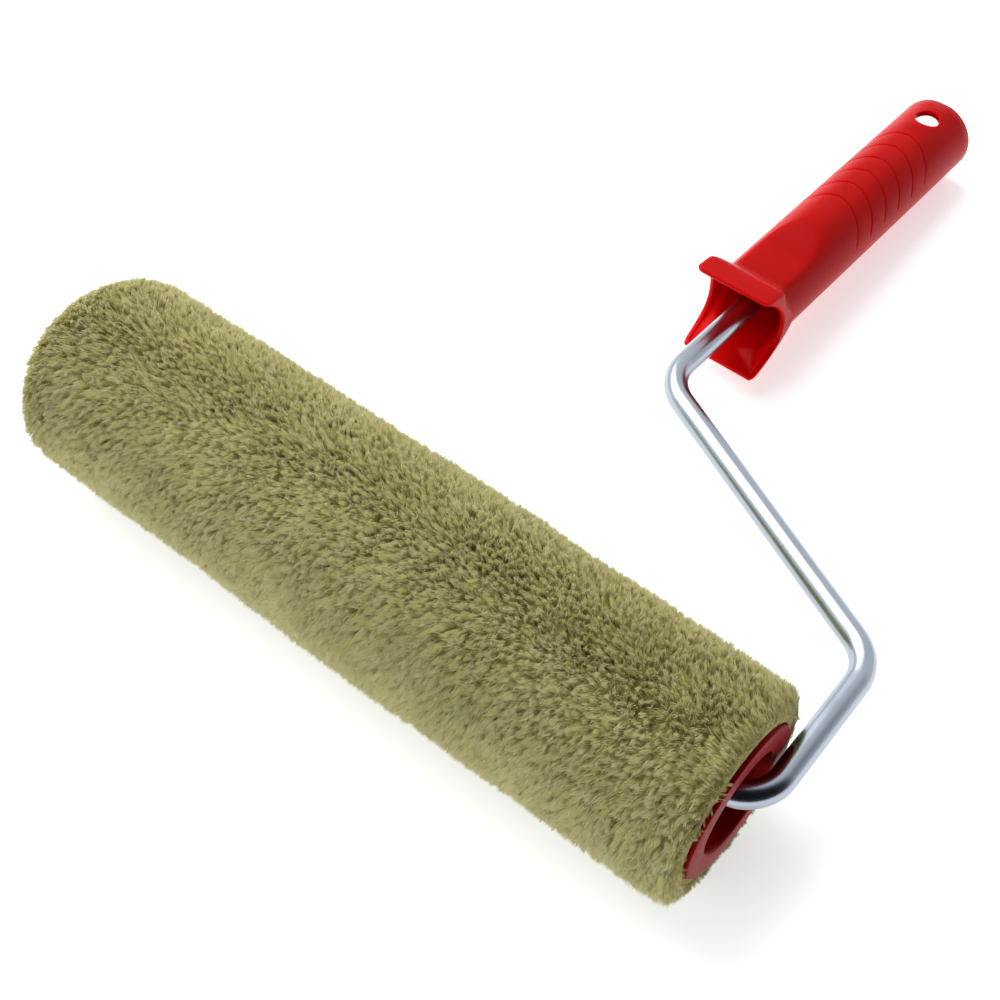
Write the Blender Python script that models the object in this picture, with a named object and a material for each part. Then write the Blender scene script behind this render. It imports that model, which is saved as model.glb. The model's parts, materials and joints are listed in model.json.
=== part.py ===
# A 25 cm paint roller: a plush sleeve that spins on the bent wire frame, and a hollow plastic handle.
#
# Two empties carry the pieces. "frame_axis" holds the wire frame and the handle, and "roller_axis"
# holds everything that spins. Both sit on the axle. In their own axes +X runs along the axle towards
# the bend that carries the roller, +Y runs from the axle to the rear end of the handle, and +Z is up.
# The roller lies on a floor at z = 0: the frame tips down until the handle's rear rim touches it.

import math

import bmesh
import bpy
from mathutils import Vector

# Clearance between two pieces that touch or turn on each other.
GAP = 0.0003

# Roller sleeve
ROLLER_LENGTH = 0.250
PILE_RADIUS = 0.0334
PILE_END_ROUNDING = 0.006
CORE_RADIUS = 0.0230
CORE_WALL = 0.0016
BACKING_THICKNESS = 0.0007

# End caps
FLANGE_THICKNESS = 0.0020
SKIRT_LENGTH = 0.014
CAP_WALL = 0.0018
CAP_RING_WIDTH = 0.0080
RECESS_TAPER = 0.0032
RECESS_DEPTH = 0.0165
HUB_LENGTH = 0.018

# Bearings and rings on the axle
BUSH_WALL = 0.0018
BUSH_FLANGE_WIDTH = 0.0022
BUSH_FLANGE_THICKNESS = 0.0012
STOP_RING_THICKNESS = 0.0024
STOP_RING_RADIUS = 0.0066
LOCK_WASHER_THICKNESS = 0.0008
LOCK_WASHER_RADIUS = 0.0080
LOCK_WASHER_DISH = 0.0012
AXLE_TIP_STICK_OUT = 0.0015

# Wire frame
WIRE_RADIUS = 0.0040
WIRE_TO_CAP = 0.0009
WIRE_LEAN = 0.0013
KNEE_Y = 0.0629
SHOULDER_Y = 0.1168
HANDLE_X = 0.0197
AXLE_BEND_RADIUS = 0.014
KNEE_RADIUS = 0.016
SHOULDER_RADIUS = 0.018
GRIP_DEPTH = 0.080

# Handle tube
HANDLE_FRONT = 0.1505
HANDLE_END = 0.2990
HANDLE_RADIUS = 0.0145
HANDLE_WALL = 0.0024
THUMB_FLAT_HEIGHT = 0.0111
THUMB_FLAT_LENGTH = 0.0360
THUMB_RAMP_LENGTH = 0.0200
HANG_HOLE_RADIUS = 0.0050
HANG_HOLE_FROM_END = 0.0130

# Finger guard at the handle's front end
GUARD_HALF_WIDTH = 0.0146
GUARD_BOW = 0.0006
GUARD_TOP = 0.0193
GUARD_BOTTOM = 0.0164
GUARD_CORNER_RADIUS = 0.0020
GUARD_LIP_LENGTH = 0.0195
GUARD_LENGTH = 0.0260
GUARD_FLARE_LENGTH = 0.0070
GUARD_LIP_SQUARE_START = 0.0170
GUARD_LIP_SQUARE_LENGTH = 0.0090
GUARD_SCALLOP_DEPTH = 0.0140
GUARD_SCALLOP_LOW = 0.0020
GUARD_SCALLOP_POWER = 2.4

# Grip grooves over the top of the handle
GROOVE_COUNT = 6
FIRST_GROOVE_Y = 0.2220
GROOVE_SPACING = 0.0099
GROOVE_WIDTH = 0.0011
GROOVE_DEPTH = 0.0006
GROOVE_SWEEP = 0.0082
GROOVE_END_ANGLE = 75.0

# Socket that holds the wire inside the handle
BOSS_RADIUS = 0.0072
BOSS_LENGTH = 0.050
WEB_THICKNESS = 0.0040
RIB_THICKNESS = 0.0020
RIB_LENGTH = 0.028

# Facets round each kind of round piece
PILE_SIDES = 64
CORE_SIDES = 48
SMALL_SIDES = 32
WIRE_SIDES = 24
HANDLE_SIDES = 48
BEND_STEPS = 8
GUARD_STEPS = 11


def clear_scene():
    for old in list(bpy.data.objects):
        bpy.data.objects.remove(old)


def plastic(name, colour, roughness, metallic=0.0):
    made = bpy.data.materials.new(name)
    made.use_nodes = True
    shader = made.node_tree.nodes["Principled BSDF"]
    shader.inputs["Base Color"].default_value = (*colour, 1.0)
    shader.inputs["Roughness"].default_value = roughness
    shader.inputs["Metallic"].default_value = metallic
    return made


def add_piece(name, mesh_builder, parent, material):
    # One mesh object from a bmesh, with its faces pointing out.
    bmesh.ops.recalc_face_normals(mesh_builder, faces=mesh_builder.faces)
    mesh = bpy.data.meshes.new(name)
    mesh_builder.to_mesh(mesh)
    mesh_builder.free()
    mesh.materials.append(material)
    mesh.shade_smooth()
    mesh.set_sharp_from_angle(angle=math.radians(35))
    piece = bpy.data.objects.new(name, mesh)
    bpy.context.collection.objects.link(piece)
    piece.parent = parent
    return piece


def skin_rings(builder, rings, closed_loop):
    # Quads between neighbouring rings of points, and from the last ring to the first on a closed loop.
    made = [[builder.verts.new(point) for point in ring] for ring in rings]
    pairs = list(zip(made, made[1:]))
    if closed_loop:
        pairs.append((made[-1], made[0]))
    count = len(rings[0])
    for first, second in pairs:
        for i in range(count):
            following = (i + 1) % count
            builder.faces.new((first[i], first[following], second[following], second[i]))
    if not closed_loop:
        builder.faces.new(made[0])
        builder.faces.new(made[-1])
    return made


def turned(name, profile, parent, material, sides=CORE_SIDES):
    # A ring-shaped piece: a closed outline of (x, radius) points turned about the X axis.
    builder = bmesh.new()
    rings = []
    for x, radius in profile:
        angles = [math.tau * i / sides for i in range(sides)]
        rings.append([Vector((x, radius * math.cos(a), radius * math.sin(a))) for a in angles])
    skin_rings(builder, rings, True)
    return add_piece(name, builder, parent, material)


def cylinder_between(name, start, end, radius, sides, parent):
    # A helper cylinder for a Boolean, hidden in renders.
    start, end = Vector(start), Vector(end)
    along = (end - start).normalized()
    builder = bmesh.new()
    bmesh.ops.create_cone(builder, cap_ends=True, segments=sides, radius1=radius, radius2=radius,
                          depth=(end - start).length)
    turn = Vector((0, 0, 1)).rotation_difference(along).to_matrix()
    bmesh.ops.rotate(builder, verts=builder.verts, cent=(0, 0, 0), matrix=turn)
    bmesh.ops.translate(builder, verts=builder.verts, vec=(start + end) / 2)
    return helper(name, builder, parent)


def box_between(name, low, high, parent):
    builder = bmesh.new()
    bmesh.ops.create_cube(builder, size=1.0)
    low, high = Vector(low), Vector(high)
    bmesh.ops.scale(builder, verts=builder.verts, vec=high - low)
    bmesh.ops.translate(builder, verts=builder.verts, vec=(low + high) / 2)
    return helper(name, builder, parent)


def helper(name, builder, parent):
    bmesh.ops.recalc_face_normals(builder, faces=builder.faces)
    mesh = bpy.data.meshes.new(name)
    builder.to_mesh(mesh)
    builder.free()
    made = bpy.data.objects.new(name, mesh)
    bpy.context.collection.objects.link(made)
    made.parent = parent
    made.hide_render = True
    made.display_type = "WIRE"
    return made


def combine(piece, other, operation):
    step = piece.modifiers.new(other.name, "BOOLEAN")
    step.operation = operation
    step.solver = "EXACT"
    step.object = other


def smooth_step(t):
    t = min(1.0, max(0.0, t))
    return t * t * (3.0 - 2.0 * t)


def bend_points(before, corner, after, radius):
    # The arc that rounds a corner of the wire's centre line, from its first to its last point.
    back = (before - corner).normalized()
    ahead = (after - corner).normalized()
    turn = math.pi - back.angle(ahead)
    centre = corner + (back + ahead).normalized() * radius / math.cos(turn / 2)
    start = corner + back * radius * math.tan(turn / 2)
    spoke = (start - centre).normalized()
    steps = [turn * i / BEND_STEPS for i in range(BEND_STEPS + 1)]
    return [centre + radius * (spoke * math.cos(a) - back * math.sin(a)) for a in steps]


def wire_path(axle_tip_x):
    # The rod's centre line, from inside the handle to the far tip of the axle.
    handle_end = Vector((HANDLE_X, wire_end_y(), 0))
    shoulder = Vector((HANDLE_X, SHOULDER_Y, 0))
    axle_bend = Vector((ROLLER_LENGTH / 2 + WIRE_TO_CAP + WIRE_RADIUS, 0, 0))
    knee = Vector((axle_bend.x - WIRE_LEAN, KNEE_Y, 0))
    axle_tip = Vector((axle_tip_x, 0, 0))
    path = [handle_end]
    path += bend_points(handle_end, shoulder, knee, SHOULDER_RADIUS)
    path += bend_points(shoulder, knee, axle_bend, KNEE_RADIUS)
    path += bend_points(knee, axle_bend, axle_tip, AXLE_BEND_RADIUS)
    path.append(axle_tip)
    return path


def wire_end_y():
    return HANDLE_FRONT + GRIP_DEPTH


def swept_rod(name, path, radius, parent, material):
    # A round rod along a path that lies flat in the XY plane.
    builder = bmesh.new()
    rings = []
    for i, centre in enumerate(path):
        before = path[max(i - 1, 0)]
        after = path[min(i + 1, len(path) - 1)]
        along = (after - before).normalized()
        side = Vector((along.y, -along.x, 0))
        angles = [math.tau * k / WIRE_SIDES for k in range(WIRE_SIDES)]
        rings.append([centre + radius * (side * math.cos(a) + Vector((0, 0, math.sin(a)))) for a in angles])
    skin_rings(builder, rings, False)
    return add_piece(name, builder, parent, material)


def end_cap_profile():
    # The outline of one end cap, from its outer face at x = 0 inwards along +X.
    flange = backing_outer_radius()
    skirt = CORE_RADIUS - CORE_WALL - GAP
    skirt_end = FLANGE_THICKNESS + SKIRT_LENGTH
    mouth = flange - CAP_RING_WIDTH
    floor = mouth - RECESS_TAPER
    floor_inside = RECESS_DEPTH + CAP_WALL
    bore = bush_outer_radius() + GAP
    hub = bore + CAP_WALL
    return [
        (0.0, mouth),
        (0.0, flange),
        (FLANGE_THICKNESS, flange),
        (FLANGE_THICKNESS, skirt),
        (skirt_end, skirt),
        (skirt_end, skirt - CAP_WALL),
        (FLANGE_THICKNESS, skirt - CAP_WALL),
        (FLANGE_THICKNESS, mouth + CAP_WALL),
        (floor_inside, floor + CAP_WALL),
        (floor_inside, hub),
        (RECESS_DEPTH + HUB_LENGTH, hub),
        (RECESS_DEPTH + HUB_LENGTH, bore),
        (RECESS_DEPTH, bore),
        (RECESS_DEPTH, floor),
    ]


def bush_outer_radius():
    return WIRE_RADIUS + GAP + BUSH_WALL


def bush_profile():
    # A flanged bush in the cap's hub, its flange lying on the floor of the recess.
    inner = WIRE_RADIUS + GAP
    outer = bush_outer_radius()
    flange = outer + BUSH_FLANGE_WIDTH
    flange_back = RECESS_DEPTH - GAP
    flange_front = flange_back - BUSH_FLANGE_THICKNESS
    return [
        (flange_front, inner),
        (flange_front, flange),
        (flange_back, flange),
        (flange_back, outer),
        (RECESS_DEPTH + HUB_LENGTH, outer),
        (RECESS_DEPTH + HUB_LENGTH, inner),
    ]


def ring_profile(start, thickness, inner, outer):
    return [(start, inner), (start, outer), (start + thickness, outer), (start + thickness, inner)]


def at_near_end(profile):
    return [(ROLLER_LENGTH / 2 - x, radius) for x, radius in profile]


def at_far_end(profile):
    return [(x - ROLLER_LENGTH / 2, radius) for x, radius in profile]


def pile_profile():
    half = ROLLER_LENGTH / 2 - GAP
    inner = backing_outer_radius() + GAP
    turn = PILE_END_ROUNDING
    corners = [math.pi / 2 * i / 4 for i in range(5)]
    near = [(half - turn + turn * math.sin(a), PILE_RADIUS - turn + turn * math.cos(a)) for a in corners]
    far = [(-x, radius) for x, radius in reversed(near)]
    return far + near + [(half, inner), (-half, inner)]


def backing_outer_radius():
    return CORE_RADIUS + GAP + BACKING_THICKNESS


def thumb_height(y):
    # Height of the handle's top over its axis: up to the guard's lip in front, flat under the thumb,
    # then a ramp up to the full round grip.
    lip = lip_rise(y)
    rise = smooth_step((y - HANDLE_FRONT - THUMB_FLAT_LENGTH) / THUMB_RAMP_LENGTH)
    flat = THUMB_FLAT_HEIGHT + (HANDLE_RADIUS - THUMB_FLAT_HEIGHT) * rise
    return flat + (GUARD_TOP - flat) * lip


def lip_place(y):
    # 1 at the guard's front, falling evenly to 0 where its lips start.
    return min(1.0, max(0.0, (HANDLE_FRONT + GUARD_LIP_LENGTH - y) / GUARD_LIP_LENGTH))


def lip_rise(y):
    # The upper lip stands up steeply behind and then runs forward, so it is humped.
    place = lip_place(y)
    return 0.72 * smooth_step(place / 0.55) + 0.28 * place


def lip_share(y):
    # The lower lip flares away in a plain hollow curve.
    return lip_place(y) ** 2


def outline_point(share, half_width, height, corner):
    # A point on a quarter of a rounded rectangle, at an even share of the way round from its side
    # (share 0) to its top (share 1). With a corner as large as its sides it is a quarter circle.
    wall = height - corner
    arc = corner * math.pi / 2
    ceiling = half_width - corner
    walked = share * (wall + arc + ceiling)
    if walked <= wall:
        return half_width, walked
    if walked >= wall + arc:
        return max(0.0, ceiling - (walked - wall - arc)), height
    angle = (walked - wall) / corner
    return ceiling + corner * math.cos(angle), wall + corner * math.sin(angle)


def mouth_start(share, guard_height, is_low):
    # The guard's rim reaches furthest forward at its top and bottom lips and is scalloped at its sides.
    rise = outline_point(share, GUARD_HALF_WIDTH, guard_height, GUARD_CORNER_RADIUS)[1]
    height = (-rise if is_low else rise) + GUARD_SCALLOP_LOW
    reach = GUARD_TOP + GUARD_SCALLOP_LOW if height > 0 else GUARD_BOTTOM - GUARD_SCALLOP_LOW
    return HANDLE_FRONT + GUARD_SCALLOP_DEPTH * (1.0 - min(1.0, abs(height) / reach) ** GUARD_SCALLOP_POWER)


def guard_square(y, start, is_low):
    # How square the section is: the round tube flares out to a square along the mouth's whole rim,
    # and all across the upper lip.
    flare = smooth_step((start + GUARD_FLARE_LENGTH - y) / GUARD_FLARE_LENGTH)
    if is_low:
        return flare
    return max(flare, smooth_step((HANDLE_FRONT + GUARD_LIP_SQUARE_START - y) / GUARD_LIP_SQUARE_LENGTH))


def handle_point(column, y, inset):
    # A point of the handle's skin, for one of the columns round it; inset moves it in by the wall.
    quarter = HANDLE_SIDES // 4
    side, place = divmod(column, quarter)
    share = place / quarter if side % 2 == 0 else 1 - place / quarter
    is_left = side in (1, 2)
    is_low = side in (2, 3)
    guard_height = GUARD_BOTTOM if is_low else GUARD_TOP
    square = guard_square(y, mouth_start(share, guard_height, is_low), is_low)
    half_width = HANDLE_RADIUS + (GUARD_HALF_WIDTH - HANDLE_RADIUS) * square
    lip = lip_share(y) if is_low else lip_rise(y)
    height = HANDLE_RADIUS + (guard_height - HANDLE_RADIUS) * lip
    corner = min(half_width, height, HANDLE_RADIUS + (GUARD_CORNER_RADIUS - HANDLE_RADIUS) * square)
    across, up = outline_point(share, half_width - inset, height - inset, max(corner - inset, 0.0004))
    across += GUARD_BOW * square * max(0.0, 1.0 - (up / height) ** 2) * across / half_width
    if is_low:
        up = -up
    else:
        up = min(up, thumb_height(y) - inset)
    return Vector((HANDLE_X + (-across if is_left else across), y, up))


def column_start(column):
    # Where one of the columns round the handle starts, at the mouth's rim.
    quarter = HANDLE_SIDES // 4
    side, place = divmod(column, quarter)
    share = place / quarter if side % 2 == 0 else 1 - place / quarter
    is_low = side in (2, 3)
    return mouth_start(share, GUARD_BOTTOM if is_low else GUARD_TOP, is_low)


def groove_ring(y, depth):
    # One ring of the grooved grip. It sweeps forward down both sides and its groove dies out there.
    ring = []
    for column in range(HANDLE_SIDES):
        from_top = math.degrees(math.tau * column / HANDLE_SIDES) - 90
        from_top = abs((from_top + 180) % 360 - 180)
        share = min(1.0, from_top / GROOVE_END_ANGLE)
        fading = 1.0 - smooth_step((from_top - GROOVE_END_ANGLE) / 15)
        ring.append(handle_point(column, y - GROOVE_SWEEP * share ** 1.3, depth * fading))
    return ring


def handle_skin(inset):
    # The rings of the handle's outer or inner surface, from the guard's mouth to the rear end.
    guard_end = HANDLE_FRONT + GUARD_LENGTH + 0.001
    ramp_start = HANDLE_FRONT + THUMB_FLAT_LENGTH
    columns = range(HANDLE_SIDES)
    rings = []
    starts = [column_start(column) for column in columns]
    for step in range(GUARD_STEPS):
        done = (step / GUARD_STEPS) ** 1.2
        rings.append([handle_point(c, start + (guard_end - start) * done, inset)
                      for c, start in zip(columns, starts)])
    stations = [guard_end] + [ramp_start + THUMB_RAMP_LENGTH * i / 6 for i in range(7)]
    for y in stations:
        rings.append([handle_point(c, y, inset) for c in columns])
    if inset == 0.0:
        for groove in range(GROOVE_COUNT):
            middle = FIRST_GROOVE_Y + groove * GROOVE_SPACING
            for offset, depth in ((-0.5, 0.0), (0.0, GROOVE_DEPTH), (0.5, 0.0)):
                rings.append(groove_ring(middle + offset * GROOVE_WIDTH, depth))
    rings.append([handle_point(c, HANDLE_END, inset) for c in columns])
    return rings


def handle_shell(parent, material):
    builder = bmesh.new()
    skin_rings(builder, handle_skin(0.0) + list(reversed(handle_skin(HANDLE_WALL))), True)
    return add_piece("handle", builder, parent, material)


def make_handle(parent, material):
    # The moulded body: outer shell, and inside it a ribbed boss that grips the wire.
    shell = handle_shell(parent, material)
    web_back = wire_end_y() + WEB_THICKNESS
    into_wall = HANDLE_RADIUS - HANDLE_WALL / 2
    boss = cylinder_between("boss_shape", (HANDLE_X, web_back - BOSS_LENGTH, 0),
                            (HANDLE_X, web_back - 0.0004, 0), BOSS_RADIUS, SMALL_SIDES, parent)
    web = cylinder_between("web_shape", (HANDLE_X, web_back - WEB_THICKNESS, 0), (HANDLE_X, web_back, 0),
                           into_wall, HANDLE_SIDES, parent)
    half = RIB_THICKNESS / 2
    rib_front = web_back - RIB_LENGTH
    rib_back = web_back - WEB_THICKNESS / 2
    flat_rib = box_between("flat_rib_shape", (HANDLE_X - into_wall, rib_front, -half),
                           (HANDLE_X + into_wall, rib_back, half), parent)
    tall_rib = box_between("tall_rib_shape", (HANDLE_X - half, rib_front + 0.0005, -into_wall),
                           (HANDLE_X + half, rib_back - 0.0005, into_wall), parent)
    bore = cylinder_between("wire_bore_shape", (HANDLE_X, HANDLE_FRONT, 0),
                            (HANDLE_X, wire_end_y() + GAP, 0), WIRE_RADIUS + GAP, SMALL_SIDES, parent)
    hole_y = HANDLE_END - HANG_HOLE_FROM_END
    hole = cylinder_between("hang_hole_shape", (HANDLE_X, hole_y, 0), (HANDLE_X, hole_y, 2 * HANDLE_RADIUS),
                            HANG_HOLE_RADIUS, SMALL_SIDES, parent)
    for added in (boss, web, flat_rib, tall_rib):
        combine(shell, added, "UNION")
    for cut in (bore, hole):
        combine(shell, cut, "DIFFERENCE")
    return shell


def make_roller(parent, red, grey, cloth, fur):
    half = ROLLER_LENGTH / 2 - FLANGE_THICKNESS - GAP
    core = ring_profile(-half, 2 * half, CORE_RADIUS - CORE_WALL, CORE_RADIUS)
    backing = ring_profile(-half, 2 * half, CORE_RADIUS + GAP, backing_outer_radius())
    turned("core_tube", core, parent, grey)
    turned("pile_backing", backing, parent, cloth)
    turned("pile", pile_profile(), parent, fur, PILE_SIDES)
    turned("end_cap_near", at_near_end(end_cap_profile()), parent, red)
    turned("end_cap_far", at_far_end(end_cap_profile()), parent, red)
    turned("bush_near", at_near_end(bush_profile()), parent, grey, SMALL_SIDES)
    turned("bush_far", at_far_end(bush_profile()), parent, grey, SMALL_SIDES)


def ring_face():
    # How far behind the cap's outer face the rings on the axle meet the bushes.
    return RECESS_DEPTH - GAP - BUSH_FLANGE_THICKNESS - GAP


def make_axle_rings(parent, steel):
    inner = WIRE_RADIUS + GAP
    stop = ring_profile(ring_face() - STOP_RING_THICKNESS, STOP_RING_THICKNESS, inner, STOP_RING_RADIUS)
    turned("stop_ring", at_near_end(stop), parent, steel, SMALL_SIDES)
    # The push-on lock washer is dished: its inner edge leans out towards the axle tip.
    back = ring_face()
    front = back - LOCK_WASHER_THICKNESS
    knee = LOCK_WASHER_RADIUS * 0.75
    dished = [
        (front - LOCK_WASHER_DISH, inner),
        (front, knee),
        (front, LOCK_WASHER_RADIUS),
        (back, LOCK_WASHER_RADIUS),
        (back, knee),
        (back - LOCK_WASHER_DISH, inner),
    ]
    turned("lock_washer", at_far_end(dished), parent, steel, SMALL_SIDES)


def axle_tip_x():
    front = ring_face() - LOCK_WASHER_THICKNESS - LOCK_WASHER_DISH
    return -ROLLER_LENGTH / 2 + front - AXLE_TIP_STICK_OUT


def rest_tilt():
    # The frame's downward tip, in radians, when the pile and the handle's rear rim both touch the floor.
    reach = math.hypot(HANDLE_END, HANDLE_RADIUS)
    return math.asin(PILE_RADIUS / reach) - math.atan2(HANDLE_RADIUS, HANDLE_END)


def axle_place(path):
    # The axle's centre, set so that the object's box stands on z = 0 with x = y = 0 at its middle.
    highest_x = max(point.x for point in path) + WIRE_RADIUS
    lowest_x = -ROLLER_LENGTH / 2
    tilt = rest_tilt()
    highest_y = HANDLE_END * math.cos(tilt) + HANDLE_RADIUS * math.sin(tilt)
    lowest_y = -PILE_RADIUS
    return Vector((-(highest_x + lowest_x) / 2, -(highest_y + lowest_y) / 2, PILE_RADIUS))


def add_axis(name, place, tilt):
    axis = bpy.data.objects.new(name, None)
    bpy.context.collection.objects.link(axis)
    axis.location = place
    axis.rotation_euler = (-tilt, 0, 0)
    return axis


def main():
    clear_scene()
    red = plastic("moulded_red_polypropylene", (0.50, 0.010, 0.012), 0.32)
    grey = plastic("natural_polypropylene", (0.55, 0.55, 0.52), 0.5)
    cloth = plastic("knitted_backing", (0.30, 0.27, 0.16), 0.95)
    fur = plastic("olive_plush_pile", (0.29, 0.26, 0.12), 0.95)
    zinc = plastic("zinc_plated_steel", (0.66, 0.69, 0.72), 0.25, 1.0)
    path = wire_path(axle_tip_x())
    place = axle_place(path)
    frame_axis = add_axis("frame_axis", place, rest_tilt())
    roller_axis = add_axis("roller_axis", place, 0.0)
    swept_rod("wire_frame", path, WIRE_RADIUS, frame_axis, zinc)
    make_handle(frame_axis, red)
    make_axle_rings(frame_axis, zinc)
    make_roller(roller_axis, red, grey, cloth, fur)


main()
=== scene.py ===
import json
import math

import bmesh
import bpy
import numpy as np
from mathutils import Matrix, Vector

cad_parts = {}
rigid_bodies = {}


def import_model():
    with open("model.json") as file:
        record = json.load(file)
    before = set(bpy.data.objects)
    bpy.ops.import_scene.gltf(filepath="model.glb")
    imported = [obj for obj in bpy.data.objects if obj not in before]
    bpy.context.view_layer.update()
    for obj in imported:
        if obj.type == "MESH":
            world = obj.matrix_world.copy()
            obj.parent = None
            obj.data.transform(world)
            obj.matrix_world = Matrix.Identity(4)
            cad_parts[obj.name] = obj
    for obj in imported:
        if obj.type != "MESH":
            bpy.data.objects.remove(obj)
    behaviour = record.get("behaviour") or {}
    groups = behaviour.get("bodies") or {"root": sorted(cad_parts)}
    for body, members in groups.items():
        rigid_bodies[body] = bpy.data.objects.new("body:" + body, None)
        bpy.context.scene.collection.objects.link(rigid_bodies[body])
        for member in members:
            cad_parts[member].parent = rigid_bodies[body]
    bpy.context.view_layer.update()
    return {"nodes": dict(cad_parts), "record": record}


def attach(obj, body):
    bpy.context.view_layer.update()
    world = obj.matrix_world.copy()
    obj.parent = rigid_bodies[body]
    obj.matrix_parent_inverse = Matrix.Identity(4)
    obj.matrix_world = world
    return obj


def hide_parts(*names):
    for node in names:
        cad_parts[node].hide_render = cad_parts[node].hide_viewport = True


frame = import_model()


def srgb(hexColour):
    # An sRGB hex colour as linear RGBA.
    parts = [int(hexColour[i:i + 2], 16) / 255 for i in (0, 2, 4)]
    linear = [c / 12.92 if c <= 0.04045 else ((c + 0.055) / 1.055) ** 2.4 for c in parts]
    return (*linear, 1.0)


def addNode(tree, kind, settings=None, links=None):
    # One node, with its properties or socket values, and the sockets that feed it.
    node = tree.nodes.new(kind)
    for name, value in (settings or {}).items():
        if isinstance(name, str) and hasattr(node, name):
            setattr(node, name, value)
        else:
            node.inputs[name].default_value = value
    for name, source in (links or {}).items():
        tree.links.new(source, node.inputs[name])
    return node


def newMaterial(name):
    made = bpy.data.materials.new(name)
    made.use_nodes = True
    made.node_tree.nodes.clear()
    return made, made.node_tree


def finishMaterial(tree, shader):
    output = addNode(tree, "ShaderNodeOutputMaterial")
    tree.links.new(shader.outputs[0], output.inputs["Surface"])


def colourRamp(tree, source, stops):
    ramp = addNode(tree, "ShaderNodeValToRGB", links={"Fac": source})
    elements = ramp.color_ramp.elements
    while len(elements) < len(stops):
        elements.new(0.5)
    for element, (place, hexColour) in zip(elements, stops):
        element.position = place
        element.color = srgb(hexColour)
    return ramp.outputs["Color"]


def noise(tree, place, size, detail):
    # Soft noise; size is how far apart its lumps are.
    node = addNode(tree, "ShaderNodeTexNoise", {"Scale": 1 / size, "Detail": detail}, {"Vector": place})
    return node.outputs["Fac"]


def mapRange(tree, value, fromMin, fromMax, toMin=0.0, toMax=1.0):
    settings = {"From Min": fromMin, "From Max": fromMax, "To Min": toMin, "To Max": toMax}
    return addNode(tree, "ShaderNodeMapRange", settings, {"Value": value}).outputs["Result"]


def bumpNormal(tree, height, strength, distance):
    settings = {"Strength": strength, "Distance": distance}
    return addNode(tree, "ShaderNodeBump", settings, {"Height": height}).outputs["Normal"]


def objectPlace(tree):
    return addNode(tree, "ShaderNodeTexCoord").outputs["Object"]


def mix(tree, factor, first, second):
    node = addNode(tree, "ShaderNodeMix", {"data_type": "RGBA"})
    tree.links.new(factor, node.inputs[0])
    for socket, value in ((node.inputs[6], first), (node.inputs[7], second)):
        if isinstance(value, str):
            socket.default_value = srgb(value)
        else:
            tree.links.new(value, socket)
    return node.outputs[2]


def addObject(name, mesh, material):
    mesh.materials.clear()
    mesh.materials.append(material)
    made = bpy.data.objects.new(name, mesh)
    bpy.context.collection.objects.link(made)
    return made


def meshFrom(builder, name, sharpAngle=40):
    bmesh.ops.remove_doubles(builder, verts=builder.verts, dist=1e-6)
    bmesh.ops.recalc_face_normals(builder, faces=builder.faces)
    mesh = bpy.data.meshes.new(name)
    builder.to_mesh(mesh)
    builder.free()
    mesh.shade_smooth()
    mesh.set_sharp_from_angle(angle=math.radians(sharpAngle))
    return mesh


def joinRings(builder, first, second):
    count = len(first)
    for i in range(count):
        following = (i + 1) % count
        builder.faces.new((first[i], first[following], second[following], second[i]))


def skinRings(builder, rings, closedLoop, capEnds=True):
    made = [[builder.verts.new(point) for point in ring] for ring in rings]
    for first, second in zip(made, made[1:]):
        joinRings(builder, first, second)
    if closedLoop:
        joinRings(builder, made[-1], made[0])
    elif capEnds:
        builder.faces.new(made[0])
        builder.faces.new(made[-1])
    return made


def smoothStep(t):
    t = min(1.0, max(0.0, t))
    return t * t * (3.0 - 2.0 * t)


mm = 0.001
joint = frame["record"]["behaviour"]["joints"][0]
axleCentre = Vector(joint["pos_m"])
# At rest the sleeve and the handle's rear rim lie on the floor, which tips the wire frame down.
handleReach = {"rearEnd": 299.0, "tubeRadius": 14.5, "pileRadius": 33.4}
rimReach = math.hypot(handleReach["rearEnd"], handleReach["tubeRadius"])
rimAngle = math.atan2(handleReach["tubeRadius"], handleReach["rearEnd"])
restTilt = math.asin(handleReach["pileRadius"] / rimReach) - rimAngle
framePlace = Matrix.Translation(axleCentre) @ Matrix.Rotation(-restTilt, 4, "X") @ Matrix.Scale(mm, 4)
rollerPlace = Matrix.Translation(axleCentre) @ Matrix.Scale(mm, 4)


def mouldedRed(name, baseHex, deepHex, gleam, glow):
    # Moulded polypropylene, spark-eroded satin: saturated red with a soft broad sheen.
    # Glow is how much light passes a little way into the thin walls.
    made, tree = newMaterial(name)
    place = objectPlace(tree)
    colour = colourRamp(tree, noise(tree, place, 22 * mm, 3.0), [(0.3, deepHex), (0.7, baseHex)])
    gloss = mapRange(tree, noise(tree, place, 1.1 * mm, 4.0), 0.3, 0.7, 0.30, 0.40)
    grain = bumpNormal(tree, noise(tree, place, 0.35 * mm, 2.0), 0.12, 0.06 * mm)
    settings = {"IOR": 1.49, "Specular IOR Level": gleam, "Subsurface Weight": glow,
                "Subsurface Scale": 5 * mm, "Subsurface Radius": (1.0, 0.06, 0.03)}
    shader = addNode(tree, "ShaderNodeBsdfPrincipled", settings,
                     {"Base Color": colour, "Roughness": gloss, "Normal": grain})
    finishMaterial(tree, shader)
    return made


def zincPlated(name):
    # Bright zinc plate on drawn wire: blue-white metal with a faint haze.
    made, tree = newMaterial(name)
    haze = noise(tree, objectPlace(tree), 14 * mm, 2.0)
    colour = colourRamp(tree, haze, [(0.25, "a3abb5"), (0.75, "aeb5bf")])
    gloss = mapRange(tree, haze, 0.3, 0.7, 0.22, 0.26)
    shader = addNode(tree, "ShaderNodeBsdfPrincipled", {"Metallic": 1.0},
                     {"Base Color": colour, "Roughness": gloss})
    finishMaterial(tree, shader)
    return made


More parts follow.
